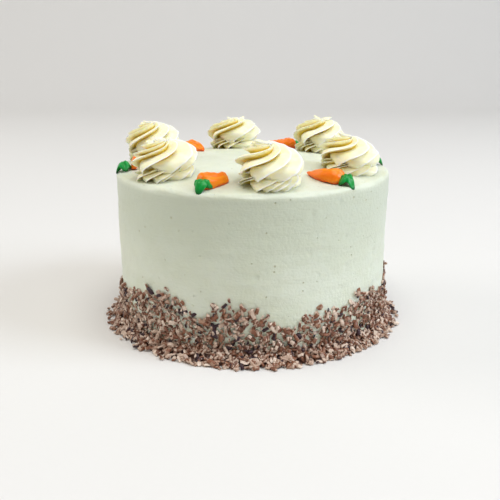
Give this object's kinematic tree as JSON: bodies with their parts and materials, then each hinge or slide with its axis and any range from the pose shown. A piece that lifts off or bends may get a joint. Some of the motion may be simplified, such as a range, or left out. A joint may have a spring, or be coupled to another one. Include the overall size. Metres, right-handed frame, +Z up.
{
  "type": "carrot cake",
  "caption": "Round iced carrot cake topped with piped buttercream swirls and small icing carrots, its foot rimmed with chopped nuts.",
  "frame": {"origin": "middle of the cake's flat underside, on the axis of the round cake", "axes": "+Z up along the cake's axis; -Y faces the front of the cake, where the nuts dip lowest; +X to its right"},
  "size_m": [0.2306, 0.2352, 0.1527],
  "materials": {
    "cream_cheese_icing": "smooth spread icing, soft satin",
    "piped_buttercream": "piped buttercream, soft satin",
    "orange_icing": "piped icing, glossy",
    "green_icing": "piped icing, glossy",
    "chopped_nuts": "chopped nuts, matt"
  },
  "bodies": {
    "root": {"cake_body": "cream_cheese_icing", "swirl_1": "piped_buttercream", "swirl_2": "piped_buttercream", "swirl_3": "piped_buttercream", "swirl_4": "piped_buttercream", "swirl_5": "piped_buttercream", "swirl_6": "piped_buttercream", "carrot_1": "orange_icing", "carrot_2": "orange_icing", "carrot_3": "orange_icing", "carrot_4": "orange_icing", "carrot_5": "orange_icing", "carrot_6": "orange_icing", "leaf_1": "green_icing", "leaf_2": "green_icing", "leaf_3": "green_icing", "leaf_4": "green_icing", "leaf_5": "green_icing", "leaf_6": "green_icing", "nut_band": "chopped_nuts"}
  },
  "joints": []
}
